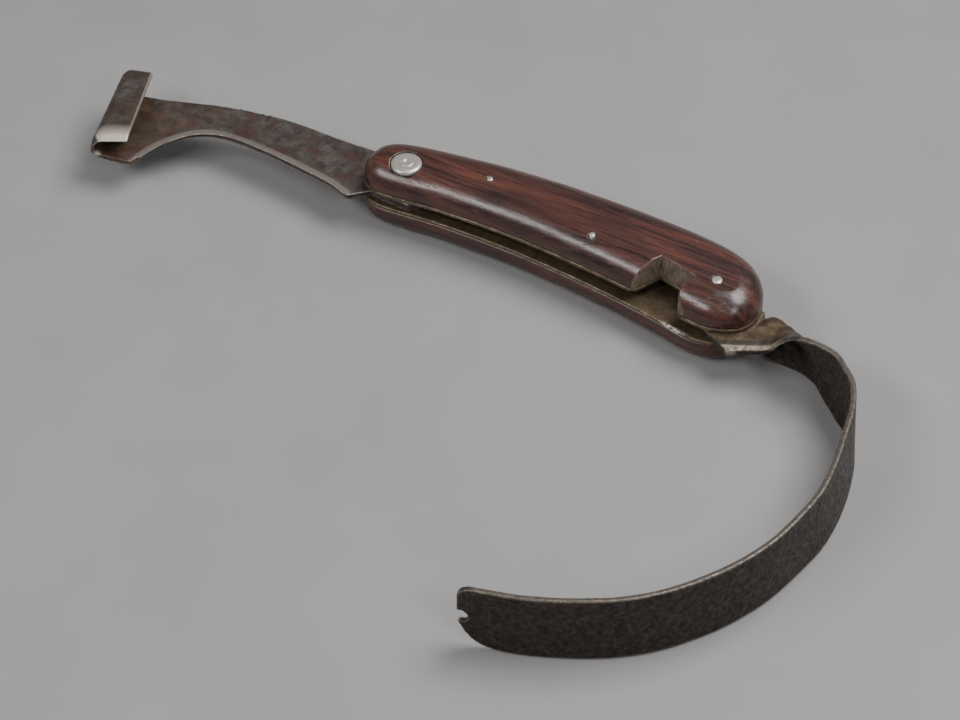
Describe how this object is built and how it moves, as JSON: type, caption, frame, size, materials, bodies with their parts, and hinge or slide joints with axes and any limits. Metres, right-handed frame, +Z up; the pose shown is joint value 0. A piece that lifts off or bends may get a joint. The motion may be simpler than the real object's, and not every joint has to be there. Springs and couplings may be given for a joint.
{
  "type": "folding hook knife",
  "caption": "Folding timber scribe: domed rosewood handle, folding blade with a U-shaped hook cutter, and a swinging steel hand guard with a slotted tip.",
  "frame": {"origin": "on the flat underside of the lower scale, midway between the blade pivot and the guard pivot", "axes": "+X along the handle from the blade pivot to the guard pivot, +Y from the belly to the spine, +Z up through the handle from the lower scale to the upper scale"},
  "size_m": [0.2396, 0.14, 0.0207],
  "materials": {
    "rosewood": "oiled and polished by use",
    "liner_metal": "dark brown patina",
    "spring_steel": "brown patina",
    "blade_steel": "worn, grey-brown patina with rust",
    "pitted_steel": "dark pitted patina with bright worn edges",
    "nickel": "worn satin"
  },
  "bodies": {
    "handle": {"upper_scale": "rosewood", "lower_scale": "rosewood", "upper_liner": "liner_metal", "lower_liner": "liner_metal", "back_spring": "spring_steel", "blade_pivot_pin": "nickel", "upper_pivot_washer": "nickel", "lower_pivot_washer": "nickel", "front_spring_pin": "nickel", "rear_spring_pin": "nickel", "guard_pivot_pin": "nickel"},
    "blade": {"scribe_blade": "blade_steel"},
    "guard": {"hand_guard": "pitted_steel"}
  },
  "joints": [
    {"name": "blade_fold", "type": "hinge", "parent": "handle", "child": "blade", "pos_m": [-0.046, 0, 0], "axis": [0, 0, 1], "range_deg": [0, 147.5]},
    {"name": "guard_swing", "type": "hinge", "parent": "handle", "child": "guard", "pos_m": [0.046, 0, 0], "axis": [0, 0, 1], "range_deg": [-84.4, 0]}
  ]
}
